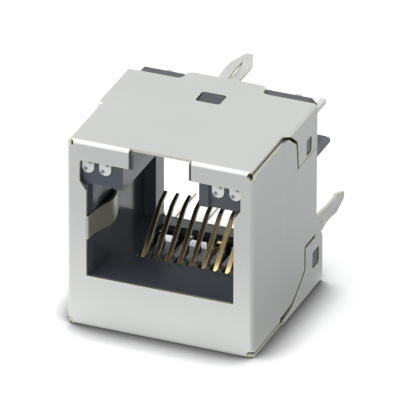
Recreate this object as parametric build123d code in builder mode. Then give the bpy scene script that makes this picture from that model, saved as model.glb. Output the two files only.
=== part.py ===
from build123d import *
import math
import os

# Shielded RJ45 board jack of the upright kind: the plug enters along the depth axis and
# the board lies square to it behind the body. Here the jack lies on its bottom wall.
#   X  across the mating face, 0 on the plane between contacts 4 and 5
#   Y  depth: the mating face looks toward -Y, the board side is +Y
#   Z  up: the plug's latch side is on top, 0 under the bottom wall

os.makedirs("parts", exist_ok=True)

# ---------------------------------------------------------------- driving dimensions
PITCH = 1.02          # contact to contact, the figure every RJ45 shares
CONTACTS = 8
SHEET = 0.25          # shield metal
FOLD = 0.35           # outer radius of each fold in the shield
WIDE_REAR = 16.25     # shield width over the folded rear flaps
HIGH = 16.40
STEP_AT = 6.00        # depth where the shield widens
WALL_END = 12.85      # rear edge of the top and side walls
SEAT = 14.20          # board plane
LOCK_TIP = 18.90      # end of the board locks
REST_GAP = 0.05       # air between the plastic and the shield's top and side walls
SLIP = 0.03           # running clearance around the moulded-in small parts
OVERRUN = 1.00        # how far a cut runs past the wall it opens

# The depth is counted from the mating face; the frame's origin is mid-way to the lock tips.
FACE_Y = -LOCK_TIP / 2


def station(depth):
    """Frame Y of a depth counted from the mating face."""
    return FACE_Y + depth


def section(depth):
    """Sketch plane across the jack, local x along X and local y along Z."""
    return Plane(origin=(0, station(depth), 0), x_dir=(1, 0, 0), z_dir=(0, -1, 0))


def at_depth(points):
    """Turn (depth, height) pairs into points of a Plane.YZ sketch."""
    return [(station(depth), height) for depth, height in points]


def mirrored(points):
    """Close an outline drawn on the +X side with its mirror image."""
    return points + [(-x, z) for x, z in reversed(points)]


WIDE_FRONT = WIDE_REAR - 2 * SHEET    # ahead of the step there are no flaps
SIDE_FRONT = WIDE_FRONT / 2
SIDE_REAR = WIDE_REAR / 2
INSIDE_FRONT = SIDE_FRONT - SHEET
INSIDE_REAR = SIDE_REAR - SHEET
WALL_MID = SIDE_REAR - SHEET / 2

# ---------------------------------------------------------------- board lock of the shield
# One lock is a strip slit along its middle; the two legs beside the slit are bowed to
# opposite faces, so that they are squeezed flat in the board's hole.
LOCK_HALF = 0.85
LOCK_SLOT = 0.06
LOCK_SLOT_START = 13.50
LOCK_BOW_START = 14.30
LOCK_SLOT_END = 17.30
LOCK_TAPER = 17.20
LOCK_POINT = 0.30
LOCK_BOW = 0.14

with BuildPart() as board_lock:
    with BuildSketch(Plane.XY.offset(-SHEET / 2)) as lock_outline:
        with BuildLine():
            Polyline(
                (-LOCK_HALF, WALL_END - SHEET),
                (LOCK_HALF, WALL_END - SHEET),
                (LOCK_HALF, LOCK_TAPER),
                (LOCK_POINT, LOCK_TIP),
                (-LOCK_POINT, LOCK_TIP),
                (-LOCK_HALF, LOCK_TAPER),
                close=True,
            )
        make_face()
        fillet(lock_outline.vertices().group_by(Axis.Y)[-1], LOCK_POINT - SLIP)
        with Locations((0, (LOCK_SLOT_START + LOCK_SLOT_END) / 2)):
            Rectangle(LOCK_SLOT, LOCK_SLOT_END - LOCK_SLOT_START, mode=Mode.SUBTRACT)
        with Locations((0, (LOCK_BOW_START + LOCK_SLOT_END) / 2)):
            Rectangle(2 * WIDE_REAR, LOCK_SLOT_END - LOCK_BOW_START, mode=Mode.SUBTRACT)
    extrude(amount=SHEET)
    for side in (-1, 1):
        with BuildSketch(Plane.YZ.offset(side * (LOCK_HALF + LOCK_SLOT / 2) / 2)):
            with BuildLine() as leg_line:
                ThreePointArc(
                    (LOCK_BOW_START - SLIP, 0),
                    ((LOCK_BOW_START + LOCK_SLOT_END) / 2, -side * LOCK_BOW),
                    (LOCK_SLOT_END + SLIP, 0),
                )
            trace(line_width=SHEET)
        extrude(amount=(LOCK_HALF - LOCK_SLOT / 2) / 2, both=True)

# ---------------------------------------------------------------- grounding spring of the shield
SPRING_LOW = 7.73
SPRING_HIGH = 9.77
SPRING_SHEET = 0.20
OPEN_HALF = 6.22      # half the width of the plug opening in the front wall
SPRING_CREST = 5.50
SPRING_CREST_AT = 3.70
SPRING_END = 6.05
SPRING_END_AT = 5.95
NOSE = 0.06           # the turned-in edge swings by this much to each side of the opening's edge
NOSE_MID = 0.17
NOSE_DEEP = 0.42

with BuildPart() as spring:
    with BuildSketch(Plane.XY.offset(SPRING_LOW)):
        with BuildLine():
            nose = ThreePointArc(
                (OPEN_HALF + SHEET, station(SPRING_SHEET / 2)),
                (OPEN_HALF + NOSE, station(NOSE_MID)),
                (OPEN_HALF - NOSE, station(NOSE_DEEP)),
            )
            Spline(
                nose @ 1,
                (SPRING_CREST, station(SPRING_CREST_AT)),
                (SPRING_END, station(SPRING_END_AT)),
                tangents=(nose % 1, Vector(0.32, 1.0)),
            )
        trace(line_width=SPRING_SHEET)
    extrude(amount=SPRING_HIGH - SPRING_LOW)

# ---------------------------------------------------------------- shield: folded sheet metal
EDGE_BACK = 0.295     # the top wall's free edges stand back from the side walls
WALL_DROP = 0.32      # the side walls' upper edges lie below the top wall's face
WALL_FOOT = 0.42      # lower edge of the side wall
BOTTOM_BACK = 0.045   # the bottom wall's free edges stand back from the side walls
RAMP_END = 8.50       # depth where the side wall has moved out to the full width
RELIEF = 0.30         # punched hole at each front corner
RELIEF_BACK = 0.275
CORNER = 0.50         # squares that clear the free edges past the corner reliefs
SIDE_SLIT = 0.26
SEAM = 0.06
SEAM_DROP = 3.76
GAP_HIGH = 4.80       # the side wall's lower edge behind the flap slit
FLAP_TOP = 4.66
FLAP_CORNER = 0.80
TAB_HALF = 3.40
TAB_CORNER = 0.60
TAB_ROOT = 0.50
LOCK_HIGH = 5.42      # height of the two side locks

FREE_EDGE = SIDE_FRONT - EDGE_BACK
WALL_TOP = HIGH - WALL_DROP
BOTTOM_HALF = SIDE_FRONT - BOTTOM_BACK
RELIEF_X = SIDE_FRONT - RELIEF_BACK
SEAM_HIGH = HIGH - SEAM_DROP

# Line between a side wall and its two flaps. The upper slit runs down from the top edge at
# UPPER_START to the seam at UPPER_AT; the lower slit climbs from LOWER_START to LOWER_AT.
UPPER_START = 7.20
UPPER_BEND = 8.27
UPPER_BEND_DROP = 1.16
UPPER_NECK = 8.72
UPPER_NECK_DROP = 1.55
UPPER_AT = 8.82
LOWER_FOOT = 6.22     # the lower edge climbs gently to this depth, by FOOT_LIFT
FOOT_LIFT = 0.06
LOWER_START = 7.70
LOWER_START_HIGH = 0.95
LOWER_AT = 10.42
LOWER_BEND_HIGH = 2.80
SLIT_START = 5.88
SLIT_BEND = 8.50
SLIT_BEND_DROP = 1.35
SLIT_FOOT = 0.51
SLIT_EYE = 0.24       # round eye where the lower slit starts
SLIT_CORNER = 0.20
upper_line = [
    (UPPER_START, WALL_TOP),
    (UPPER_BEND, HIGH - UPPER_BEND_DROP),
    (UPPER_NECK, HIGH - UPPER_NECK_DROP),
    (UPPER_AT, SEAM_HIGH),
]
lower_line = [
    (LOWER_AT, GAP_HIGH),
    (LOWER_AT, LOWER_BEND_HIGH),
    (LOWER_START, LOWER_START_HIGH),
]

# Windows for the plastic's catches: depth, height, length along the depth and height.
TOP_HOLE_AT = 10.60
TOP_HOLE_WIDE = 2.10
TOP_HOLE_LONG = 1.65
UPPER_HOLE_AT = 11.10
UPPER_HOLE_DROP = 2.85
UPPER_HOLE_LONG = 1.10
UPPER_HOLE_HIGH = 1.40
LOWER_HOLE_AT = 12.75
LOWER_HOLE_MID = 2.80
LOWER_HOLE_LONG = 1.40
LOWER_HOLE_HIGH = 1.50
HOLE_CORNER = 0.25

# Cut in the front wall: the plug opening below, the indicator panes, the latch notch on top.
MOUTH_LOW = 4.56
MOUTH_TURN_DROP = 4.30
PANE_BACK = 1.095     # the panes' outer edges stand back from the side walls
PANE_LOW_DROP = 3.52
PANE_TOP_DROP = 1.68
NOTCH_HALF = 2.63
PANE_HALF = SIDE_FRONT - PANE_BACK

with BuildPart() as front_core:
    with BuildSketch(section(SHEET)):
        with Locations((0, HIGH / 2)):
            Rectangle(2 * INSIDE_FRONT, HIGH - 2 * SHEET)
    extrude(amount=-SEAT)
    fillet(front_core.faces().sort_by(Axis.Y)[0].edges(), FOLD - SHEET)

with BuildPart() as side_walls:
    with BuildSketch(Plane.XY) as wall_plan:
        with BuildLine():
            Polyline(
                (INSIDE_FRONT, station(STEP_AT - OVERRUN)),
                (INSIDE_FRONT, station(STEP_AT)),
                (INSIDE_REAR, station(RAMP_END)),
                (INSIDE_REAR, station(WALL_END)),
                (SIDE_REAR, station(WALL_END)),
                (SIDE_REAR, station(RAMP_END)),
                (SIDE_FRONT, station(STEP_AT)),
                (SIDE_FRONT, station(STEP_AT - OVERRUN)),
                close=True,
            )
        make_face()
        mirror(about=Plane.YZ)
    extrude(amount=HIGH)
    with BuildSketch(Plane.YZ):
        with BuildLine():
            Polyline(
                at_depth(
                    [(STEP_AT - OVERRUN, WALL_TOP)]
                    + upper_line
                    + [(WALL_END, SEAM_HIGH), (WALL_END, GAP_HIGH)]
                    + lower_line
                    + [(LOWER_FOOT, WALL_FOOT + FOOT_LIFT), (STEP_AT - OVERRUN, WALL_FOOT)]
                ),
                close=True,
            )
        make_face()
    extrude(amount=WIDE_REAR, both=True, mode=Mode.INTERSECT)

with BuildPart() as shield:
    # front wall with its four folds, drawn as one hollow box
    with BuildSketch(section(0)):
        with Locations((0, HIGH / 2)):
            Rectangle(WIDE_FRONT, HIGH)
    extrude(amount=-STEP_AT)
    fillet(shield.faces().sort_by(Axis.Y)[0].edges(), FOLD)
    add(front_core.part, mode=Mode.SUBTRACT)
    # the top wall stops short of the side walls and these stop short of the bottom wall
    with BuildSketch(section(FOLD)):
        for side in (-1, 1):
            with Locations((side * (FREE_EDGE + CORNER / 2), WALL_TOP + CORNER / 2)):
                Rectangle(CORNER, CORNER)
            with Locations((side * BOTTOM_HALF, (SHEET + WALL_FOOT) / 2)):
                Rectangle(2 * CORNER, WALL_FOOT - SHEET)
            with Locations((side * (BOTTOM_HALF + CORNER / 2), WALL_FOOT / 2)):
                Rectangle(CORNER, WALL_FOOT)
    extrude(amount=-STEP_AT, mode=Mode.SUBTRACT)
    # corner reliefs punched before folding
    with BuildSketch(section(-OVERRUN)):
        for side in (-1, 1):
            for height in (RELIEF, HIGH - RELIEF):
                with Locations((side * RELIEF_X, height)):
                    Circle(RELIEF)
                with Locations((side * (RELIEF_X + RELIEF), height)):
                    Rectangle(2 * RELIEF, 2 * RELIEF)
    extrude(amount=-(OVERRUN + FOLD + REST_GAP), mode=Mode.SUBTRACT)
    # rear section, wider than the front by the flaps lying beside the side walls
    with BuildSketch(section(STEP_AT)):
        with Locations((0, HIGH / 2)):
            RectangleRounded(WIDE_REAR, HIGH, FOLD)
            RectangleRounded(
                WIDE_REAR - 2 * SHEET, HIGH - 2 * SHEET, FOLD - SHEET, mode=Mode.SUBTRACT
            )
    extrude(amount=-(SEAT - STEP_AT))
    # the flaps keep only what lies outside the side wall's own outline
    for side in (-1, 1):
        with BuildSketch(Plane.YZ.offset(side * (INSIDE_FRONT - SLIP))):
            with BuildLine():
                Polyline(
                    at_depth(
                        [(STEP_AT, HIGH - REST_GAP)]
                        + upper_line
                        + [(SEAT + OVERRUN, SEAM_HIGH), (SEAT + OVERRUN, GAP_HIGH)]
                        + lower_line
                        + [(LOWER_FOOT, 2 * RELIEF), (STEP_AT, RELIEF)]
                    ),
                    close=True,
                )
            make_face()
        extrude(amount=side * OVERRUN, mode=Mode.SUBTRACT)
    add(side_walls.part)
    # slits between flaps and side wall, the upper seam and the lower gap
    with BuildSketch(Plane.YZ.offset(INSIDE_FRONT - SLIP)) as slit_sketch:
        with BuildLine():
            FilletPolyline(
                at_depth([
                    (SLIT_START, HIGH + SIDE_SLIT / 2),
                    (UPPER_START, WALL_TOP),
                    (SLIT_BEND, HIGH - SLIT_BEND_DROP),
                    (UPPER_AT, SEAM_HIGH - SEAM),
                ]),
                radius=SLIT_CORNER,
            )
            FilletPolyline(
                at_depth([
                    (SLIT_START, SLIT_FOOT),
                    (LOWER_START, LOWER_START_HIGH),
                    (LOWER_AT, LOWER_BEND_HIGH),
                    (LOWER_AT, GAP_HIGH),
                    (SEAT, GAP_HIGH),
                ]),
                radius=SLIT_CORNER,
            )
        trace(line_width=SIDE_SLIT)
        with Locations((station((UPPER_AT + SEAT) / 2), SEAM_HIGH)):
            Rectangle(SEAT - UPPER_AT, SEAM)
        with Locations((station(STEP_AT), SLIT_FOOT)):
            Circle(SLIT_EYE)
    extrude(amount=OVERRUN, mode=Mode.SUBTRACT)
    extrude(slit_sketch.sketch.mirror(Plane.YZ), amount=OVERRUN, dir=(-1, 0, 0), mode=Mode.SUBTRACT)
    # rear edges: everything behind the walls but the tab, the lower flaps and the bottom wall
    for side in (-1, 1):
        with BuildSketch(section(WALL_END)):
            with Locations((side * (TAB_HALF + WIDE_REAR) / 2, (FLAP_TOP + HIGH + OVERRUN) / 2)):
                Rectangle(WIDE_REAR - TAB_HALF, HIGH + OVERRUN - FLAP_TOP)
        extrude(amount=-SEAT, mode=Mode.SUBTRACT)
    upright = shield.edges().filter_by(Axis.Z).filter_by_position(Axis.Z, HIGH - SHEET, HIGH)
    tab_edges = upright.filter_by_position(Axis.X, -TAB_HALF - SLIP, TAB_HALF + SLIP)
    fillet(tab_edges.filter_by_position(Axis.Y, station(SEAT) - SLIP, station(SEAT) + SLIP), TAB_CORNER)
    upright = shield.edges().filter_by(Axis.Z).filter_by_position(Axis.Z, HIGH - SHEET, HIGH)
    tab_edges = upright.filter_by_position(Axis.X, -TAB_HALF - SLIP, TAB_HALF + SLIP)
    fillet(tab_edges.filter_by_position(Axis.Y, station(WALL_END) - SLIP, station(WALL_END) + SLIP), TAB_ROOT)
    flap_corners = (
        shield.edges()
        .filter_by(Axis.X)
        .filter_by_position(Axis.Y, station(SEAT) - SLIP, station(SEAT) + SLIP)
        .filter_by_position(Axis.Z, FLAP_TOP - SLIP, FLAP_TOP + SLIP)
    )
    fillet(flap_corners, FLAP_CORNER)
    # mating face: plug opening, indicator windows and latch notch in one cut
    with BuildSketch(section(0)) as mouth:
        with BuildLine():
            Polyline(
                mirrored([
                    (OPEN_HALF, MOUTH_LOW),
                    (OPEN_HALF, HIGH - MOUTH_TURN_DROP),
                    (PANE_HALF, HIGH - PANE_LOW_DROP),
                    (PANE_HALF, HIGH - PANE_TOP_DROP),
                    (NOTCH_HALF, HIGH - PANE_TOP_DROP),
                    (NOTCH_HALF, HIGH + OVERRUN),
                ]),
                close=True,
            )
        make_face()
        outer_corners = mouth.vertices().group_by(Axis.X)[0] + mouth.vertices().group_by(Axis.X)[-1]
        fillet(outer_corners, HOLE_CORNER)
    extrude(amount=-(FOLD + SLIP), mode=Mode.SUBTRACT)
    # windows for the plastic's catches: one in the top wall, one in each flap
    with BuildSketch(Plane.XY.offset(HIGH - 2 * SHEET)):
        with Locations((0, station(TOP_HOLE_AT))):
            RectangleRounded(TOP_HOLE_WIDE, TOP_HOLE_LONG, HOLE_CORNER)
    extrude(amount=OVERRUN, mode=Mode.SUBTRACT)
    with BuildSketch(Plane.YZ):
        with Locations((station(UPPER_HOLE_AT), HIGH - UPPER_HOLE_DROP)):
            RectangleRounded(UPPER_HOLE_LONG, UPPER_HOLE_HIGH, HOLE_CORNER)
        with Locations((station(LOWER_HOLE_AT), LOWER_HOLE_MID)):
            RectangleRounded(LOWER_HOLE_LONG, LOWER_HOLE_HIGH, HOLE_CORNER)
    extrude(amount=WIDE_REAR, both=True, mode=Mode.SUBTRACT)
    # board locks: one in line with the top wall, one in line with each side wall
    with Locations((0, FACE_Y, HIGH - SHEET / 2)):
        add(board_lock.part)
    with Locations((WALL_MID, FACE_Y, LOCK_HIGH)):
        add(board_lock.part, rotation=(0, 90, 0))
    with Locations((-WALL_MID, FACE_Y, LOCK_HIGH)):
        add(board_lock.part, rotation=(0, -90, 0))
    # grounding springs, folded in from the sides of the opening
    add(spring.part)
    add(spring.part.mirror(Plane.YZ))
shield.part.label = "shield"
export_step(shield.part, "parts/shield.step")

# ---------------------------------------------------------------- plastic housing
BODY_HALF = INSIDE_FRONT - REST_GAP
BODY_TOP = HIGH - SHEET - REST_GAP
CAVITY_HALF = 6.00    # room for the plug body
FLOOR = 4.50
CAVITY_DROP = 3.93
PLUG_STOP = 11.40     # depth of the faces that stop the plug
LEAD_IN = 0.20        # widening of the plug room at the mating face
LEAD_IN_DEEP = 0.60
REAR_HALF = 5.00      # half width of the opening through the rear frame
REAR_WIDE = 5.80      # and behind its step
REAR_STEP = 13.10
REAR_DROP = 6.00
LATCH_HALF = 3.20     # channel for the plug's latch
LEDGE_DROP = 1.80
LATCH_NECK = 2.33
ROOF_DROP = 0.90      # roof of the channel, only behind ROOF_START
ROOF_START = 9.10
FLOOR_SHEET = 0.60
FLOOR_END = 11.55
SLOT_START = 4.62     # the floor's slots, open into one gap behind the ribs
SLOT_WIDE = 0.62
RIB_END = 8.20
GAP_END = 10.40
GAP_HALF = 4.20
UNDER_START = 4.10    # room under the slotted floor
UNDER_LOW = 0.75
UNDER_HALF = 4.90
SPRING_ROOM = 0.15
SPRING_DEEP = 1.00
EDGE_CHAMFER = 0.45
FRONT_CHAMFER = 0.12  # clears the inside of the shield's front folds
CATCH_SLACK = 0.10    # between a catch and its window
CATCH_SINK = 0.20
CATCH_RISE = 0.26
CATCH_LAND = 0.225
PEG_TIP = 17.15
PEG_TIP_HIGH = 0.35
PEG_SLANT = 16.10
PEG_DROP = 4.50
PEG_HIGH = 1.00
PEG_INSET = 1.775     # the pegs' inner faces, counted from the body's side

CAVITY_TOP = HIGH - CAVITY_DROP
FACE_HALF = PANE_HALF + CATCH_SLACK
LATCH_LEDGE = HIGH - LEDGE_DROP
PEG_TOP = HIGH - PEG_DROP

LAMP_WIDE = 1.00
LAMP_WALL = 0.875     # plastic beside the outer lamps
LAMP_STEP = 1.45
LAMP_LOW_DROP = 2.85
LAMP_HIGH = 1.70
LAMP_FRONT = SHEET + CATCH_SLACK
LAMP_LONG = 4.00
FACE_INNER = 4.00     # the indicator faces stand back beside the latch channel's columns
FACE_BACK = 0.20
FACE_DROP = 3.07      # and further back below the lamps
FACE_STEP = 0.10
LEAD = 0.45
LEAD_START = LAMP_FRONT + OVERRUN
LEAD_END = 17.00
LEAD_SHIFT = 0.20     # the two leads of a lamp stand to either side of its middle
LEAD_LOW = 0.33
LEAD_HIGH = 0.97
CRANK = 0.62          # the upper lead of every second lamp steps aside by this much
CRANK_START = 12.00
CRANK_END = 13.10

LAMP_LOW = HIGH - LAMP_LOW_DROP
LAMP_OUTER = BODY_HALF - LAMP_WALL - LAMP_WIDE / 2
LAMP_INNER = LAMP_OUTER - LAMP_STEP
LAMP_X = (-LAMP_OUTER, -LAMP_INNER, LAMP_INNER, LAMP_OUTER)
LEAD_SPOTS = ((LEAD_SHIFT, LAMP_LOW + LEAD_HIGH), (-LEAD_SHIFT, LAMP_LOW + LEAD_LOW))


def lamp_outline(x, extra):
    """Round-bottomed front outline of the lamp at x, or of its pocket when extra is added."""
    radius = LAMP_WIDE / 2 + extra
    shoulder = LAMP_LOW + LAMP_WIDE / 2
    with BuildLine() as outline:
        ThreePointArc((x - radius, shoulder), (x, LAMP_LOW - extra), (x + radius, shoulder))
        Polyline(
            (x + radius, shoulder),
            (x + radius, LAMP_LOW + LAMP_HIGH + extra),
            (x - radius, LAMP_LOW + LAMP_HIGH + extra),
            (x - radius, shoulder),
        )
    return outline.line


with BuildPart() as housing:
    with BuildSketch(section(SHEET)):
        with Locations((0, (SHEET + BODY_TOP) / 2)):
            Rectangle(2 * BODY_HALF, BODY_TOP - SHEET)
    extrude(amount=-(SEAT - SHEET))
    chamfer(housing.edges().filter_by(Axis.Y), EDGE_CHAMFER)
    chamfer(housing.faces().sort_by(Axis.Y)[0].edges(), FRONT_CHAMFER)
    # plug room with the latch channel above it
    with BuildSketch(section(0)):
        with BuildLine():
            Polyline(
                mirrored([
                    (CAVITY_HALF, FLOOR),
                    (CAVITY_HALF, CAVITY_TOP),
                    (LATCH_HALF, CAVITY_TOP),
                    (LATCH_HALF, LATCH_LEDGE),
                    (LATCH_NECK, LATCH_LEDGE),
                    (LATCH_NECK, HIGH - ROOF_DROP),
                ]),
                close=True,
            )
        make_face()
    extrude(amount=-PLUG_STOP, mode=Mode.SUBTRACT)
    with BuildSketch(section(0)):
        with Locations((0, (LATCH_LEDGE + HIGH) / 2)):
            Rectangle(2 * LATCH_NECK, HIGH - LATCH_LEDGE)
    extrude(amount=-ROOF_START, mode=Mode.SUBTRACT)
    # lead-in around the plug room
    with BuildSketch(section(SHEET)):
        with Locations((0, (FLOOR + CAVITY_TOP) / 2)):
            Rectangle(2 * (CAVITY_HALF + LEAD_IN), CAVITY_TOP - FLOOR + LEAD_IN)
    with BuildSketch(section(SHEET + LEAD_IN_DEEP)):
        with Locations((0, (FLOOR + CAVITY_TOP) / 2)):
            Rectangle(2 * CAVITY_HALF, CAVITY_TOP - FLOOR)
    loft(mode=Mode.SUBTRACT)
    # opening through the rear frame, down past the rear edge of the floor
    for start, half, low in (
        (PLUG_STOP - OVERRUN, REAR_HALF, FLOOR),
        (FLOOR_END, REAR_HALF, FLOOR - FLOOR_SHEET),
        (REAR_STEP, REAR_WIDE, UNDER_LOW),
    ):
        with BuildSketch(section(start)):
            with Locations((0, (low + HIGH - REAR_DROP) / 2)):
                Rectangle(2 * half, HIGH - REAR_DROP - low)
        extrude(amount=-SEAT, mode=Mode.SUBTRACT)
    # room under the floor for the contacts' bends and tails
    with BuildSketch(section(UNDER_START)):
        with Locations((0, (UNDER_LOW + FLOOR - FLOOR_SHEET) / 2)):
            Rectangle(2 * UNDER_HALF, FLOOR - FLOOR_SHEET - UNDER_LOW)
    extrude(amount=-SEAT, mode=Mode.SUBTRACT)
    with BuildSketch(Plane.XY.offset(FLOOR)):
        with Locations((0, station((SLOT_START + RIB_END) / 2))):
            with GridLocations(PITCH, 0, CONTACTS, 1):
                Rectangle(SLOT_WIDE, RIB_END - SLOT_START)
        with Locations((0, station((RIB_END + GAP_END) / 2))):
            Rectangle(2 * GAP_HALF, GAP_END - RIB_END)
    extrude(amount=-2 * FLOOR_SHEET, mode=Mode.SUBTRACT)
    # pocket for the spring in each side wall
    with BuildSketch(section(0)):
        with Locations((0, (SPRING_LOW + SPRING_HIGH) / 2)):
            Rectangle(2 * (CAVITY_HALF + SPRING_DEEP), SPRING_HIGH - SPRING_LOW + 2 * SPRING_ROOM)
    extrude(amount=-(SPRING_END_AT + SPRING_ROOM), mode=Mode.SUBTRACT)
    # indicator faces: set back, once more below the lamps; round-bottomed pockets, lead bores
    for low, high, depth in (
        (HIGH - FACE_DROP, HIGH - PANE_TOP_DROP + CATCH_SLACK, SHEET + FACE_BACK),
        (CAVITY_TOP, HIGH - FACE_DROP, SHEET + FACE_BACK + FACE_STEP),
    ):
        with BuildSketch(section(0)):
            for side in (-1, 1):
                with Locations((side * (FACE_HALF + FACE_INNER) / 2, (low + high) / 2)):
                    Rectangle(FACE_HALF - FACE_INNER, high - low)
        extrude(amount=-depth, mode=Mode.SUBTRACT)
    with BuildSketch(section(0)):
        for x in LAMP_X:
            make_face(lamp_outline(x, SLIP))
    extrude(amount=-(LAMP_FRONT + LAMP_LONG), mode=Mode.SUBTRACT)
    with BuildSketch(section(LEAD_START)):
        for x in LAMP_X:
            with Locations(*[(x + dx, z) for dx, z in LEAD_SPOTS]):
                Rectangle(LEAD + 2 * SLIP, LEAD + 2 * SLIP)
    extrude(amount=-SEAT, mode=Mode.SUBTRACT)
    with BuildSketch(section(CRANK_START)):
        for x in LAMP_X[1::2]:
            with Locations((x + LEAD_SHIFT + CRANK / 2, LAMP_LOW + LEAD_HIGH)):
                Rectangle(LEAD + CRANK + 2 * SLIP, LEAD + 2 * SLIP)
    extrude(amount=-SEAT, mode=Mode.SUBTRACT)
    # catches: a ramp under the window in the top wall, a block under each flap's window
    with BuildSketch(Plane.YZ):
        with BuildLine():
            Polyline(
                at_depth([
                    (TOP_HOLE_AT - TOP_HOLE_LONG / 2 + CATCH_SLACK, BODY_TOP - CATCH_SINK),
                    (TOP_HOLE_AT - TOP_HOLE_LONG / 2 + CATCH_SLACK, BODY_TOP + SLIP),
                    (TOP_HOLE_AT + TOP_HOLE_LONG / 2 - CATCH_LAND, BODY_TOP + CATCH_RISE),
                    (TOP_HOLE_AT + TOP_HOLE_LONG / 2 - CATCH_SLACK, BODY_TOP + CATCH_RISE),
                    (TOP_HOLE_AT + TOP_HOLE_LONG / 2 - CATCH_SLACK, BODY_TOP - CATCH_SINK),
                ]),
                close=True,
            )
        make_face()
    extrude(amount=TOP_HOLE_WIDE / 2 - CATCH_SLACK, both=True)
    with BuildSketch(Plane.YZ.offset(BODY_HALF - CATCH_SLACK)) as catch_faces:
        for depth, height, length, tall in (
            (UPPER_HOLE_AT, HIGH - UPPER_HOLE_DROP, UPPER_HOLE_LONG, UPPER_HOLE_HIGH),
            (LOWER_HOLE_AT, LOWER_HOLE_MID, LOWER_HOLE_LONG, LOWER_HOLE_HIGH),
        ):
            with Locations((station(depth), height)):
                RectangleRounded(
                    length - 2 * CATCH_SLACK, tall - 2 * CATCH_SLACK, HOLE_CORNER - CATCH_SLACK
                )
    reach = WALL_MID - BODY_HALF + CATCH_SLACK + REST_GAP
    extrude(amount=reach)
    extrude(catch_faces.sketch.mirror(Plane.YZ), amount=reach, dir=(-1, 0, 0))
    # locating pegs, each with its upper side cut slanting towards the tip
    with BuildSketch(Plane.YZ.offset(BODY_HALF)) as peg_face:
        with BuildLine():
            Polyline(
                at_depth([
                    (SEAT - CATCH_SLACK, PEG_TOP - PEG_HIGH),
                    (PEG_TIP, PEG_TOP - PEG_HIGH),
                    (PEG_TIP - CATCH_SLACK, PEG_TOP - PEG_HIGH + PEG_TIP_HIGH),
                    (PEG_SLANT, PEG_TOP),
                    (SEAT - CATCH_SLACK, PEG_TOP),
                ]),
                close=True,
            )
        make_face()
    extrude(amount=-PEG_INSET)
    extrude(peg_face.sketch.mirror(Plane.YZ), amount=PEG_INSET, dir=(1, 0, 0))
housing.part.label = "housing"
export_step(housing.part, "parts/housing.step")

# ---------------------------------------------------------------- contacts
# Each contact is one formed strip: a tail towards the board, a run under the floor, a
# bend round the floor's front and the sprung arm that rises through its slot.
CONTACT_WIDE = 0.36
CONTACT_TIP_WIDE = 0.24
CONTACT_SHEET = 0.24
RISE = 41.7           # degrees, from the bend to the knee
TIP_RISE = 21         # degrees, from the knee to the free end
BEND = 0.80           # radius of the bend at mid-thickness
BEND_DEPTH = 5.20
BEND_HIGH = 2.88
KNEE = 8.85           # depth where the arm flattens
KNEE_RADIUS = 1.50
NARROW_START = 8.00   # behind this depth the arm tapers to its free end
ARM_TIP = 10.00       # depth of the free end
UPPER_ROW = 3.35      # heights of the two staggered tail rows
TAIL_PITCH = 1.27     # tail to tail across the jack
FAN_START = 6.00      # the runs spread from PITCH to TAIL_PITCH between these depths
FAN_END = 9.00
JOG_END = 10.20       # behind FAN_END every second run climbs to the upper row
TAIL_TIP = 18.20
TAIL_CHAMFER = 0.07
CARRIER_FRONT = 12.40
CARRIER_REAR = 13.00
CARRIER_TOP = 3.80
CARRIER_LOW = 2.40
CARRIER_FEET = ((2, 2), (4, 5), (6, 6), (8, 8))    # contacts at the feet's left and right
FOOT_SIDE = 0.40

run_height = BEND_HIGH - BEND
rows = (run_height, UPPER_ROW)
arc_end = math.radians(90 + RISE)
arc_mid = math.radians(180 + RISE / 2)
bend_mid = (BEND_DEPTH + BEND * math.cos(arc_mid), BEND_HIGH + BEND * math.sin(arc_mid))
arm_start = (BEND_DEPTH + BEND * math.cos(arc_end), BEND_HIGH + BEND * math.sin(arc_end))
knee = (KNEE, arm_start[1] + (KNEE - arm_start[0]) * math.tan(math.radians(RISE)))
arm_tip = (ARM_TIP, knee[1] + (ARM_TIP - KNEE) * math.tan(math.radians(TIP_RISE)))


def place(number, pitch):
    """X of a numbered contact in a row of the given pitch."""
    return pitch * (number - (CONTACTS + 1) / 2)


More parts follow.
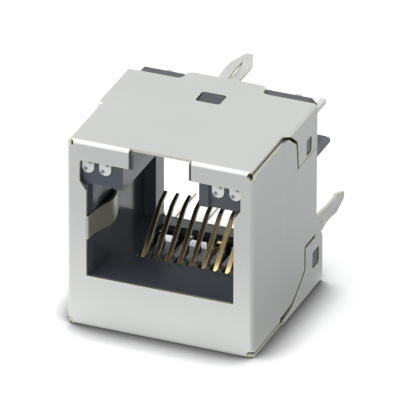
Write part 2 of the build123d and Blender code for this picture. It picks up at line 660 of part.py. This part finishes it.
contacts = []
for number in range(1, CONTACTS + 1):
    x = place(number, PITCH)
    tail_x = place(number, TAIL_PITCH)
    row_height = rows[number % 2]
    # run and tail: the side view gives the heights, the plan gives the width and the spread
    with BuildPart() as run:
        with BuildSketch(Plane.YZ):
            with BuildLine():
                Line((station(BEND_DEPTH), run_height), (station(FAN_END), run_height))
                Line((station(FAN_END), run_height), (station(JOG_END), row_height))
                Line((station(JOG_END), row_height), (station(TAIL_TIP), row_height))
            trace(line_width=CONTACT_SHEET)
        extrude(amount=WIDE_REAR, both=True)
        with BuildSketch(Plane.XY):
            with BuildLine():
                Polyline(
                    (x, station(BEND_DEPTH)),
                    (x, station(FAN_START)),
                    (tail_x, station(FAN_END)),
                    (tail_x, station(TAIL_TIP)),
                )
            trace(line_width=CONTACT_WIDE)
        extrude(amount=FLOOR, mode=Mode.INTERSECT)
        chamfer(run.faces().sort_by(Axis.Y)[-1].edges(), TAIL_CHAMFER)
    # bend and sprung arm, narrowed towards the free end
    with BuildPart() as contact:
        with BuildSketch(Plane.YZ.offset(x)):
            with BuildLine():
                ThreePointArc(*at_depth([(BEND_DEPTH, run_height), bend_mid, arm_start]))
                FilletPolyline(at_depth([arm_start, knee, arm_tip]), radius=KNEE_RADIUS)
            trace(line_width=CONTACT_SHEET)
        extrude(amount=CONTACT_WIDE / 2, both=True)
        with BuildSketch(Plane.XY.offset(FLOOR)):
            for side in (-1, 1):
                with BuildLine():
                    Polyline(
                        (x + side * CONTACT_WIDE / 2, station(NARROW_START)),
                        (x + side * CONTACT_TIP_WIDE / 2, station(ARM_TIP)),
                        (x + side * CONTACT_TIP_WIDE / 2, station(ARM_TIP + OVERRUN)),
                        (x + side * CONTACT_WIDE, station(ARM_TIP + OVERRUN)),
                        (x + side * CONTACT_WIDE, station(NARROW_START)),
                        close=True,
                    )
                make_face()
        extrude(amount=HIGH, mode=Mode.SUBTRACT)
        add(run.part)
    contact.part.label = f"contact_{number}"
    export_step(contact.part, f"parts/contact_{number}.step")
    contacts.append(contact)

# ---------------------------------------------------------------- contact carrier
with BuildPart() as contact_carrier:
    with BuildSketch(section(CARRIER_FRONT)):
        with Locations((0, (CARRIER_LOW + CARRIER_TOP) / 2)):
            Rectangle(2 * UNDER_HALF, CARRIER_TOP - CARRIER_LOW)
        for first, last in CARRIER_FEET:
            left = place(first, TAIL_PITCH) - FOOT_SIDE
            right = place(last, TAIL_PITCH) + FOOT_SIDE
            with Locations(((left + right) / 2, (UNDER_LOW + CARRIER_LOW) / 2)):
                Rectangle(right - left, CARRIER_LOW - UNDER_LOW)
        for number in range(1, CONTACTS + 1):
            with Locations((place(number, TAIL_PITCH), rows[number % 2])):
                Rectangle(CONTACT_WIDE, CONTACT_SHEET, mode=Mode.SUBTRACT)
    extrude(amount=-(CARRIER_REAR - CARRIER_FRONT))
contact_carrier.part.label = "contact_carrier"
export_step(contact_carrier.part, "parts/contact_carrier.step")

# ---------------------------------------------------------------- indicator lamps and leads
lamps = []
leads = []
for number, x in enumerate(LAMP_X, start=1):
    with BuildPart() as lamp:
        with BuildSketch(section(LAMP_FRONT)):
            make_face(lamp_outline(x, 0))
        extrude(amount=-LAMP_LONG)
        with BuildSketch(section(LEAD_START)):
            with Locations(*[(x + dx, z) for dx, z in LEAD_SPOTS]):
                Rectangle(LEAD, LEAD)
        extrude(amount=-LAMP_LONG, mode=Mode.SUBTRACT)
    lamp.part.label = f"lamp_{number}"
    export_step(lamp.part, f"parts/lamp_{number}.step")
    lamps.append(lamp)
    for letter, (dx, z) in zip("ab", LEAD_SPOTS):
        aside = CRANK if letter == "a" and number % 2 == 0 else 0
        with BuildPart() as lead:
            with BuildSketch(Plane.XY.offset(z - LEAD / 2)):
                with BuildLine():
                    Polyline(
                        (x + dx, station(LEAD_START)),
                        (x + dx, station(CRANK_START + LEAD)),
                        (x + dx + aside, station(CRANK_END)),
                        (x + dx + aside, station(LEAD_END)),
                    )
                trace(line_width=LEAD)
            extrude(amount=LEAD)
            chamfer(lead.faces().sort_by(Axis.Y)[-1].edges(), TAIL_CHAMFER)
        lead.part.label = f"lead_{number}{letter}"
        export_step(lead.part, f"parts/lead_{number}{letter}.step")
        leads.append(lead)
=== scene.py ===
# %% [markdown]
# # A shielded network jack for a circuit board
# The jack is a dark moulded body inside a folded metal shield. It arrives here as finished
# solids with real sizes, so this notebook gives each piece its surface, sets it on a pale
# floor and lights it like a catalogue picture. All the numbers are metres.

# %% Load the jack
import bpy
import math
from mathutils import Matrix, Vector


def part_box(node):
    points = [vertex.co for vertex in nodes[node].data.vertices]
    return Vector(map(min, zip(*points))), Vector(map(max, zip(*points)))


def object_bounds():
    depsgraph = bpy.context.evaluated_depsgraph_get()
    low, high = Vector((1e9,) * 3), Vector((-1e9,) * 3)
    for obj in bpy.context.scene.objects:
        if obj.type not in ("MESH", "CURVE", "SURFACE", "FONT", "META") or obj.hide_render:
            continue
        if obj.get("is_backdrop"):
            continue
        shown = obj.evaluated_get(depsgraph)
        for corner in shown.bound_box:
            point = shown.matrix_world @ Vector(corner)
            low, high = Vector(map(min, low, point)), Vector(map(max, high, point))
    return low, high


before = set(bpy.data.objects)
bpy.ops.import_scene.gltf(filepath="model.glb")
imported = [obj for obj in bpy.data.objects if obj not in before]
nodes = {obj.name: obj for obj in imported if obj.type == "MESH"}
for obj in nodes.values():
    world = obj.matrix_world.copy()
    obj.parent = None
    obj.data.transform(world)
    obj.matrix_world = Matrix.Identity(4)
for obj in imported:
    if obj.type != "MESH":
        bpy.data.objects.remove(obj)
cad_low, cad_high = (Vector(corner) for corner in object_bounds())
MM = 0.001
print("pieces:", len(nodes), "size in mm:", [round(v / MM, 2) for v in cad_high - cad_low])

# %% [markdown]
# ## Small helpers for nodes
# Every finish below is a chain of nodes: a texture coordinate, some noise, a bump and one
# surface shader. The chains could be drawn by hand in the Shader Editor. Here they are
# written down, so that each number stands beside its name and the result never varies.

# %% Helpers that make nodes
def empty_tree(owner, kind):
    """Clear a material's or world's nodes; give back its tree and its Surface socket."""
    owner.use_nodes = True
    tree = owner.node_tree
    tree.nodes.clear()
    return tree, tree.nodes.new("ShaderNodeOutput" + kind).inputs["Surface"]


def feed(tree, socket, value):
    """Give a socket a plain value, or link another node's socket to it."""
    if isinstance(value, bpy.types.NodeSocket):
        tree.links.new(value, socket)
    else:
        socket.default_value = value


def add_node(tree, kind, settings=None, **inputs):
    """One node with its settings; inputs take a value or another node's socket."""
    node = tree.nodes.new("ShaderNode" + kind)
    for key, value in (settings or {}).items():
        setattr(node, key, value)
    for key, value in inputs.items():
        feed(tree, node.inputs[key.replace("_", " ")], value)
    return node


def new_finish(name):
    """A material with one Principled shader, ready for nodes."""
    material = bpy.data.materials.new(name)
    tree, seen = empty_tree(material, "Material")
    surface = add_node(tree, "BsdfPrincipled")
    feed(tree, seen, surface.outputs["BSDF"])
    return material, tree, surface


print("node helpers ready")

# %% [markdown]
# ## Signals
# A signal is a number or a colour that changes over the surface. An image could carry it,
# but it would need unwrapping and would blur up close. Noise in object coordinates needs
# neither: on this model those coordinates are metres, so every grain has a real width.

# %% Helpers that make signals
def combine(tree, operation, *values):
    """The result of one Math node; each value is a number or a socket."""
    node = add_node(tree, "Math", {"operation": operation})
    for socket, value in zip(node.inputs, values):
        feed(tree, socket, value)
    return node.outputs["Value"]


def grain(tree, size, stretch=(1, 1, 1), detail=3.0):
    """Noise whose features are about size metres across, drawn out along one or two axes."""
    place = add_node(tree, "TexCoord").outputs["Object"]
    scaled = add_node(tree, "Mapping", Vector=place, Scale=[k / size for k in stretch])
    noise = add_node(
        tree, "TexNoise", Vector=scaled.outputs["Vector"], Scale=1.0, Detail=detail)
    return noise.outputs["Fac"]


def between(tree, factor, low, high, start=0.0, end=1.0):
    """Turn a signal that runs from start to end into one that runs from low to high."""
    node = add_node(
        tree, "MapRange", Value=factor,
        From_Min=start, From_Max=end, To_Min=low, To_Max=high)
    return node.outputs["Result"]


def tint(tree, factor, low, high):
    """Mix two colours by a 0 to 1 signal."""
    ramp = add_node(tree, "ValToRGB", Fac=factor)
    ramp.color_ramp.elements[0].color = (*low, 1)
    ramp.color_ramp.elements[1].color = (*high, 1)
    return ramp.outputs["Color"]


def blend_colour(tree, factor, plain, marked):
    """The plain colour where the 0 to 1 factor is 0, the marked one where it is 1."""
    node = add_node(tree, "Mix", {"data_type": "RGBA"}, Factor=factor)
    for name, colour in (("A", plain), ("B", marked)):
        is_signal = isinstance(colour, bpy.types.NodeSocket)
        feed(tree, node.inputs[name], colour if is_signal else (*colour, 1))
    return node.outputs["Result"]


print("signal helpers ready")

# %% [markdown]
# ## Edges and fine relief
# Real edges catch the light because they are slightly round and a little worn. They could
# be bevelled, which would change the solids. A Bevel node only asks how the rounded normal
# would differ from the flat one, and that difference marks the edge; the finishes below
# paint a lighter colour there as the edge highlight. Fine relief comes from a Bump node in
# the same way, without moving the surface.

# %% Edge mask and relief
EDGE_SAMPLES = 6
EDGE_STARTS, EDGE_FULL = 0.995, 0.75      # likeness of the rounded and the flat normal


def edge_mask(tree, radius):
    """1 within about radius of a sharp edge, 0 on open faces."""
    rounded = add_node(tree, "Bevel", {"samples": EDGE_SAMPLES}, Radius=radius)
    true_face = add_node(tree, "NewGeometry")
    alike = add_node(tree, "VectorMath", {"operation": "DOT_PRODUCT"})
    feed(tree, alike.inputs[0], rounded.outputs["Normal"])
    feed(tree, alike.inputs[1], true_face.outputs["Normal"])
    return between(tree, alike.outputs["Value"], 1.0, 0.0, EDGE_FULL, EDGE_STARTS)


def emboss(tree, surface, height, strength, depth):
    """Let a height signal tilt the surface a little."""
    bump = add_node(tree, "Bump", Strength=strength, Distance=depth, Height=height)
    feed(tree, surface.inputs["Normal"], bump.outputs["Normal"])


print("edge mask runs from", EDGE_STARTS, "to", EDGE_FULL)

# %% [markdown]
# ## Plated sheet metal
# The shield is stamped from pre-plated strip. Rolling leaves a very fine grain in one
# direction, the plating is satin rather than mirror-like, and the stamped edges show the
# yellower base metal. One flat grey would look like paint. A stretched noise gives the
# grain, a broad one a faint cloudiness, and the edge mask warms and lightens the colour
# where the sheet has been cut or folded: partly the base metal of the cut faces, partly a
# painted highlight where the edges catch the light.

# %% Shield metal
SHEET_DARK, SHEET_LIGHT = (0.585, 0.60, 0.585), (0.645, 0.655, 0.635)
# Base metal on the cut faces, plus a painted highlight along cut and folded edges
SHEET_CUT_AND_HIGHLIGHT = (0.74, 0.69, 0.46)
SHEET_METALLIC = 0.9
SHEET_ROUGH = (0.34, 0.44)
CLOUD_WIDTH = 6 * MM
ROLLED_WIDTH, ROLLED_STRETCH, ROLLED_DEPTH = 0.12 * MM, (1, 0.04, 1), 0.01 * MM


def plated_sheet():
    material, tree, surface = new_finish("plated_sheet")
    clouds = grain(tree, CLOUD_WIDTH)
    base = tint(tree, clouds, SHEET_DARK, SHEET_LIGHT)
    # Warmer, lighter near edges: base metal where cut, painted highlight where edges catch
    # light
    cut_and_highlight = blend_colour(tree, edge_mask(tree, 0.20 * MM), base, SHEET_CUT_AND_HIGHLIGHT)
    feed(tree, surface.inputs["Base Color"], cut_and_highlight)
    feed(tree, surface.inputs["Metallic"], SHEET_METALLIC)
    feed(tree, surface.inputs["Roughness"], between(tree, clouds, *SHEET_ROUGH))
    rolling = grain(tree, ROLLED_WIDTH, ROLLED_STRETCH, detail=2.0)
    emboss(tree, surface, rolling, strength=0.10, depth=ROLLED_DEPTH)
    return material


shield_finish = plated_sheet()
print("finish:", shield_finish.name)

# %% [markdown]
# ## Moulded dark plastic
# The body is a glass-filled plastic moulded against polished steel: a blue-grey black that
# looks much lighter where it mirrors the pale surroundings at a low angle. The carrier is
# darker and duller. A plain colour would do for both from afar. Up close, a slow noise in
# the colour and roughness shows how the melt flowed, and a fine one breaks up the shine.

# %% Body and carrier plastic
FLOW_WIDTH, FLOW_STRETCH = 3.5 * MM, (1, 0.5, 1)
FINE_WIDTH, FINE_DEPTH = 0.15 * MM, 0.01 * MM
# Lighter colour near sharp edges: a little wear, and a painted highlight of the rounded edges
EDGE_WEAR_AND_HIGHLIGHT, EDGE_WEAR_AND_HIGHLIGHT_SHARE = (0.14, 0.16, 0.16), 0.35


def moulded_plastic(name, dark, light, rough):
    material, tree, surface = new_finish(name)
    flow = grain(tree, FLOW_WIDTH, FLOW_STRETCH, detail=1.0)
    # Edges get the lighter colour: a little wear and a painted edge highlight
    edges = between(tree, edge_mask(tree, 0.08 * MM), 0.0, EDGE_WEAR_AND_HIGHLIGHT_SHARE)
    base = blend_colour(tree, edges, tint(tree, flow, dark, light), EDGE_WEAR_AND_HIGHLIGHT)
    feed(tree, surface.inputs["Base Color"], base)
    feed(tree, surface.inputs["Roughness"], between(tree, flow, *rough))
    emboss(tree, surface, grain(tree, FINE_WIDTH), strength=0.04, depth=FINE_DEPTH)
    return material


body_finish = moulded_plastic(
    "body_plastic", dark=(0.068, 0.080, 0.098), light=(0.080, 0.093, 0.112),
    rough=(0.12, 0.18))
carrier_finish = moulded_plastic(
    "carrier_plastic", dark=(0.03, 0.036, 0.045), light=(0.04, 0.046, 0.056),
    rough=(0.45, 0.55))
print("finishes:", body_finish.name, carrier_finish.name)

# %% [markdown]
# ## Drawn metal and tinned leads
# The contacts and the lamps' leads are drawn or rolled to shape, which leaves fine marks
# along their length. Both could have a metal of their own from the start. They share this
# one instead, because only colour and polish set them apart. The leads are tinned: pale,
# soft and rather dull.

# %% Lead metal
MARK_WIDTH, MARK_STRETCH, MARK_DEPTH = 0.06 * MM, (1, 0.05, 0.3), 0.008 * MM
PATCH_WIDTH = 1.5 * MM
TIN_DARK, TIN_LIGHT = (0.66, 0.66, 0.65), (0.76, 0.76, 0.75)
TIN_ROUGH = (0.30, 0.42)


def drawn_metal(name):
    """A material with the marks in its relief, and its patches as a 0 to 1 signal."""
    material, tree, surface = new_finish(name)
    marks = grain(tree, MARK_WIDTH, MARK_STRETCH, detail=2.0)
    emboss(tree, surface, marks, strength=0.08, depth=MARK_DEPTH)
    return material, tree, surface, grain(tree, PATCH_WIDTH)


def lead_tin():
    material, tree, surface, patches = drawn_metal("lead_tin")
    feed(tree, surface.inputs["Base Color"], tint(tree, patches, TIN_DARK, TIN_LIGHT))
    feed(tree, surface.inputs["Metallic"], 1.0)
    feed(tree, surface.inputs["Roughness"], between(tree, patches, *TIN_ROUGH))
    return material


tin_finish = lead_tin()
print("finish:", tin_finish.name)

# %% [markdown]
# ## Gold contacts
# Each contact is gold over nickel on spring strip, almost mirror-bright on its rolled
# faces. Its sides are sheared, so they are duller; their pale colour, and a pale band along
# the burrs, is a painted highlight. The tail behind the body is tinned for soldering. Three
# materials on each contact would need its faces sorted. One material can tell them apart
# by itself: a sheared side faces left or right, and a tail lies behind a certain depth.

# %% Which side and which end
CUT_FROM, CUT_FULL = 0.6, 0.8             # share of the normal that points left or right
# A pale band along the burrs is a painted edge highlight
BURR_HIGHLIGHT_WIDTH, BURR_HIGHLIGHT_SHARE = 0.06 * MM, 0.9
TAIL_FROM = cad_low.y + 13.0 * MM
TAIL_FADES = 0.2 * MM


def sheared_side_and_highlight(tree):
    """1 on the cut sides and the burrs of a strip, where a pale highlight is painted, 0 on
    its rolled faces.
    """
    face = add_node(tree, "NewGeometry").outputs["True Normal"]
    across = add_node(tree, "SeparateXYZ", Vector=face).outputs["X"]
    cut = between(tree, combine(tree, "ABSOLUTE", across), 0, 1, CUT_FROM, CUT_FULL)
    burr_highlight = combine(tree, "MULTIPLY", edge_mask(tree, BURR_HIGHLIGHT_WIDTH), BURR_HIGHLIGHT_SHARE)
    return combine(tree, "MAXIMUM", cut, burr_highlight)


def behind_body(tree):
    """1 behind the body, 0 inside and ahead of it."""
    place = add_node(tree, "NewGeometry").outputs["Position"]
    depth = add_node(tree, "SeparateXYZ", Vector=place).outputs["Y"]
    return between(tree, depth, 0, 1, TAIL_FROM, TAIL_FROM + TAIL_FADES)


print("tails start at y", round(TAIL_FROM, 5))

# %% Contact gold
GOLD_DARK, GOLD_LIGHT = (0.66, 0.50, 0.22), (0.84, 0.64, 0.32)
# Sheared sides and burrs get a pale colour: duller metal, painted paler as a highlight
SHEARED_AND_HIGHLIGHT, TAIL = (0.97, 0.90, 0.70), (0.98, 0.96, 0.88)
FACE_ROUGH, SHEARED_ROUGH, TAIL_ROUGHER = 0.12, 0.5, 0.2
SHEARED_METALLIC = 0.1


def contact_gold():
    material, tree, surface, patches = drawn_metal("contact_gold")
    side, behind = sheared_side_and_highlight(tree), behind_body(tree)
    gold = tint(tree, patches, GOLD_DARK, GOLD_LIGHT)
    colour = blend_colour(tree, behind, blend_colour(tree, side, gold, SHEARED_AND_HIGHLIGHT), TAIL)
    rough = combine(
        tree, "ADD", between(tree, side, FACE_ROUGH, SHEARED_ROUGH),
        combine(tree, "MULTIPLY", behind, TAIL_ROUGHER))
    feed(tree, surface.inputs["Base Color"], colour)
    feed(tree, surface.inputs["Metallic"], between(tree, side, 1.0, SHEARED_METALLIC))
    feed(tree, surface.inputs["Roughness"], rough)
    return material


gold_finish = contact_gold()
print("finish:", gold_finish.name)

# %% [markdown]
# ## Clear lamps
# Each lamp is cast in water-clear resin that looks milky against the dark body, and the
# ends of its two leads show through it as small dark spots. Fully clear resin would need
# the chip and wire inside, which hardly show at this size. A milky resin with a little
# transmission is enough, and the spots are drawn from the distance to the leads' axes.

# %% Where a lamp's leads end
WIRE = 0.45 * MM
SPOT_CORE, SPOT_RIM = 0.04 * MM, 0.26 * MM


def front_end(lead):
    """Middle of a lead's front end. Where a lead steps aside, it steps to the right."""
    low = Vector(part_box(lead)[0])
    return Vector((low.x + WIRE / 2, low.y, low.z + WIRE / 2))


def away_from_leads(tree, leads):
    """0 on the axes of the leads, 1 past the rims of their spots."""
    place = add_node(tree, "TexCoord").outputs["Object"]
    flat = add_node(tree, "VectorMath", {"operation": "MULTIPLY"})
    feed(tree, flat.inputs[0], place)
    feed(tree, flat.inputs[1], (1, 0, 1))
    distances = []
    for lead in leads:
        reach = add_node(tree, "VectorMath", {"operation": "DISTANCE"})
        feed(tree, reach.inputs[0], flat.outputs["Vector"])
        feed(tree, reach.inputs[1], (lead.x, 0, lead.z))
        distances.append(reach.outputs["Value"])
    nearest = combine(tree, "MINIMUM", *distances)
    return between(tree, nearest, 0.0, 1.0, SPOT_CORE, SPOT_RIM)


print("spots are", round(2 * SPOT_RIM / MM, 2), "mm wide")

# %% Lamp resin
HAZE_WIDTH = 0.7 * MM
MILK_DARK, MILK_LIGHT = (0.80, 0.82, 0.80), (0.93, 0.95, 0.93)
SPOT_GREY = (0.12, 0.12, 0.12)
RESIN_ROUGH = (0.08, 0.18)
RESIN_CLEAR, RESIN_IOR, RESIN_COAT = 0.10, 1.5, 0.3


def lamp_resin(name, leads):
    material, tree, surface = new_finish(name)
    haze = grain(tree, HAZE_WIDTH)
    milk = tint(tree, haze, MILK_DARK, MILK_LIGHT)
    seen = blend_colour(tree, away_from_leads(tree, leads), SPOT_GREY, milk)
    feed(tree, surface.inputs["Base Color"], seen)
    feed(tree, surface.inputs["Roughness"], between(tree, haze, *RESIN_ROUGH))
    feed(tree, surface.inputs["Transmission Weight"], RESIN_CLEAR)
    feed(tree, surface.inputs["IOR"], RESIN_IOR)
    feed(tree, surface.inputs["Coat Weight"], RESIN_COAT)
    return material


lamp_finishes = {}
for name in nodes:
    if name.startswith("lamp_"):
        ends = [front_end("lead_" + name[-1] + letter) for letter in "ab"]
        lamp_finishes[name] = lamp_resin(name + "_resin", ends)
print("finishes:", [finish.name for finish in lamp_finishes.values()])

# %% [markdown]
# ## Dress every piece
# The real jack is put together from bought and moulded parts, and each part is one
# material throughout. So every piece here gets a single finish, chosen by its name. They
# could be picked by hand one after another, but the names already say what each piece is.

# %% Dress every piece
single_finishes = {
    "shield": shield_finish,
    "housing": body_finish,
    "contact_carrier": carrier_finish,
    **lamp_finishes,
}
for name, node in nodes.items():
    if name in single_finishes:
        finish = single_finishes[name]
    else:
        finish = gold_finish if name.startswith("contact_") else tin_finish
    node.data.materials.clear()
    node.data.materials.append(finish)
    print(name, "->", finish.name)

# %% [markdown]
# ## Floor
# The jack stands on a sheet of white paper. A backdrop that curves up behind it is the
# usual way in a studio. A flat sheet is enough here, because the world behind it is as
# white as the paper. It lies a hair below the jack, so that the two never share a face.

# %% Lay the sheet
FLOOR_HALF = 0.30
FLOOR_DROP = 0.02 * MM
floor_mesh = bpy.data.meshes.new("floor")
floor_mesh.from_pydata(
    [(-FLOOR_HALF, -FLOOR_HALF, 0), (FLOOR_HALF, -FLOOR_HALF, 0),
     (FLOOR_HALF, FLOOR_HALF, 0), (-FLOOR_HALF, FLOOR_HALF, 0)],
    [], [(0, 1, 2, 3)])
floor = bpy.data.objects.new("floor", floor_mesh)
floor.location.z = cad_low.z - FLOOR_DROP
bpy.context.scene.collection.objects.link(floor)
floor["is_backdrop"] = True
print("floor", 2 * FLOOR_HALF, "m wide at z", floor.location.z)

# %% [markdown]
# ## Paper that stays white
# Paper under soft light is a pale grey. More light would make it white, and would burn out
# the metal too. So the paper glows a little instead, and only for rays that look straight
# at it or see it in metal and glass. The glow in the metal fades ahead of the jack and is
# weak on its shaded side, where a real studio is darker. Close to the jack both the glow
# and the paper darken by how much of the sky is hidden there. That is the soft shadow that
# makes a small thing stand firmly on its floor.

# %% Signals for the paper
GLOW_MIRRORED = 0.60
GLOW_FADES = 20 * MM          # how far ahead of the mating face the mirrored glow ends
GLOW_BESIDE = 0.08            # what is left of it on the shaded side
GLOW_STEP = 1 * MM
SHADE_REACH = 4.5 * MM
SHADE_SAMPLES = 8
SHADE_FULL, SHADE_NONE = 0.47, 0.95       # share of the sky that is open
SHADE_LEFT = 0.10             # what is left of the paper's white in full shade


def open_sky(tree):
    """SHADE_LEFT right beside the jack, 1 out of its reach."""
    seen = add_node(
        tree, "AmbientOcclusion", {"samples": SHADE_SAMPLES}, Distance=SHADE_REACH)
    soft = add_node(
        tree, "MapRange", {"interpolation_type": "SMOOTHSTEP"}, Value=seen.outputs["AO"],
        From_Min=SHADE_FULL, From_Max=SHADE_NONE, To_Min=SHADE_LEFT)
    return soft.outputs["Result"]


def mirrored_glow(tree, path):
    """The glow that metal and glass see, by where on the floor they see it."""
    place = add_node(tree, "NewGeometry").outputs["Position"]
    spot = add_node(tree, "SeparateXYZ", Vector=place).outputs
    near = between(tree, spot["Y"], 0.0, 1.0, cad_low.y - GLOW_FADES, cad_low.y)
    beside = between(
        tree, spot["X"], 1.0, GLOW_BESIDE, cad_high.x, cad_high.x + GLOW_STEP)
    mirrored = combine(tree, "ADD", path["Is Glossy Ray"], path["Is Transmission Ray"])
    glow = combine(tree, "MULTIPLY", mirrored, GLOW_MIRRORED)
    return combine(tree, "MULTIPLY", glow, combine(tree, "MULTIPLY", near, beside))


print("the shade reaches", SHADE_REACH / MM, "mm")

# %% Floor paper
PAPER = 0.86
GLOW_SEEN = 0.58
BLACK, WHITE = (0, 0, 0), (1, 1, 1)


def floor_paper():
    material = bpy.data.materials.new("floor_paper")
    tree, seen = empty_tree(material, "Material")
    path = add_node(tree, "LightPath").outputs
    openness = open_sky(tree)
    straight = combine(tree, "MULTIPLY", path["Is Camera Ray"], GLOW_SEEN)
    strength = combine(
        tree, "MULTIPLY", combine(tree, "ADD", straight, mirrored_glow(tree, path)), openness)
    indirect = between(tree, path["Is Camera Ray"], 1.0, 0.0)
    lit = combine(tree, "MAXIMUM", openness, indirect)
    colour = blend_colour(tree, lit, BLACK, (PAPER, PAPER, PAPER))
    paper = add_node(tree, "BsdfDiffuse", Color=colour)
    glow = add_node(tree, "Emission", Color=(*WHITE, 1), Strength=strength)
    both = add_node(tree, "AddShader")
    feed(tree, both.inputs[0], paper.outputs["BSDF"])
    feed(tree, both.inputs[1], glow.outputs["Emission"])
    feed(tree, seen, both.outputs["Shader"])
    return material


floor_mesh.materials.append(floor_paper())
print("finish:", floor_mesh.materials[0].name)

# %% [markdown]
# ## The room around it
# A studio wraps a shiny thing in white cloth, so that metal mirrors white and never a dark
# room. A world that white would also flood the jack with light from all sides. So the
# world is white only where it is looked at, directly or in metal and glass, and gives a
# much weaker and slightly cool light to everything else.

# %% World
SOFT_COLOUR, SOFT_STRENGTH = (0.96, 0.98, 1.0), 0.42
world = bpy.data.worlds.new("studio")
bpy.context.scene.world = world
tree, around = empty_tree(world, "World")
soft = add_node(tree, "Background", Color=(*SOFT_COLOUR, 1), Strength=SOFT_STRENGTH)
white = add_node(tree, "Background", Color=(*WHITE, 1), Strength=1.0)
path = add_node(tree, "LightPath").outputs
looked_at = combine(
    tree, "MAXIMUM", path["Is Glossy Ray"],
    combine(tree, "MAXIMUM", path["Is Camera Ray"], path["Is Transmission Ray"]))
mix = add_node(tree, "MixShader", Fac=looked_at)
feed(tree, mix.inputs[1], soft.outputs["Background"])
feed(tree, mix.inputs[2], white.outputs["Background"])
feed(tree, around, mix.outputs["Shader"])
print("world", world.name, "at", SOFT_STRENGTH)

# %% [markdown]
# ## Lights
# One large soft light hangs above and to the left, so that the top is bright, the right
# side is a tone darker and the shadow falls softly to the right. A weaker one in front
# lifts the mating face and the plug room. Small bright lamps would put hard spots on the
# metal. Sheets half a metre wide stay soft on a thing of 2 cm.

# %% Soft lights
jack_middle = Vector((0, (cad_low.y + cad_high.y) / 2, (cad_low.z + cad_high.z) / 2))


def soft_light(name, where, size, watts):
    """A square light, where metres from the jack's middle, that faces the jack."""
    data = bpy.data.lights.new(name, "AREA")
    data.shape = "SQUARE"
    data.size = size
    data.energy = watts
    light = bpy.data.objects.new(name, data)
    light.location = jack_middle + Vector(where)
    light.rotation_euler = (
        jack_middle - light.location).to_track_quat("-Z", "Y").to_euler()
    bpy.context.scene.collection.objects.link(light)
    print(name, [round(v, 3) for v in light.location], watts, "W")


soft_light("key", where=(-0.22, -0.07, 0.28), size=0.50, watts=0.82)
soft_light("front_fill", where=(-0.08, -0.32, 0.16), size=0.45, watts=0.40)

# %% [markdown]
# ## Camera
# A long lens from far away keeps the edges nearly parallel, as in a catalogue. The camera
# looks at the jack from a little to the right of the mating face and well above it. It
# could be turned by hand until it fits. Two angles and a distance say the same in numbers
# that can be read and changed.

# %% Where the camera looks
AZIMUTH = math.radians(22.09)
ELEVATION = math.radians(28.16)
ROLL = math.radians(0.16)
AIM_DEPTH, AIM_HEIGHT = 6.5 * MM, 7.9 * MM
aim = Vector((0, cad_low.y + AIM_DEPTH, AIM_HEIGHT))
forward = Vector((
    -math.sin(AZIMUTH) * math.cos(ELEVATION),
    math.cos(AZIMUTH) * math.cos(ELEVATION),
    -math.sin(ELEVATION),
))
right = Vector((math.cos(AZIMUTH), math.sin(AZIMUTH), 0))
up = right.cross(forward)
right, up = (
    math.cos(ROLL) * right + math.sin(ROLL) * up,
    -math.sin(ROLL) * right + math.cos(ROLL) * up,
)
print("looks along", [round(v, 3) for v in forward])

# %% Camera
DISTANCE = 0.742
FRAME_WIDTH = 32.1 * MM
SENSOR = 36
SHIFT_X, SHIFT_Y = 0.0317, 0.0300
NEAREST, FARTHEST = 0.01, 10
camera_data = bpy.data.cameras.new("camera")
camera_data.sensor_width = SENSOR
camera_data.lens = SENSOR * DISTANCE / FRAME_WIDTH
camera_data.shift_x = SHIFT_X
camera_data.shift_y = SHIFT_Y
camera_data.clip_start = NEAREST
camera_data.clip_end = FARTHEST
camera = bpy.data.objects.new("camera", camera_data)
camera.matrix_world = Matrix((
    (right.x, up.x, -forward.x, aim.x - DISTANCE * forward.x),
    (right.y, up.y, -forward.y, aim.y - DISTANCE * forward.y),
    (right.z, up.z, -forward.z, aim.z - DISTANCE * forward.z),
    (0, 0, 0, 1),
))
bpy.context.scene.collection.objects.link(camera)
bpy.context.scene.camera = camera
bpy.context.scene.view_settings.view_transform = "Standard"
print("lens", round(camera_data.lens), "mm")
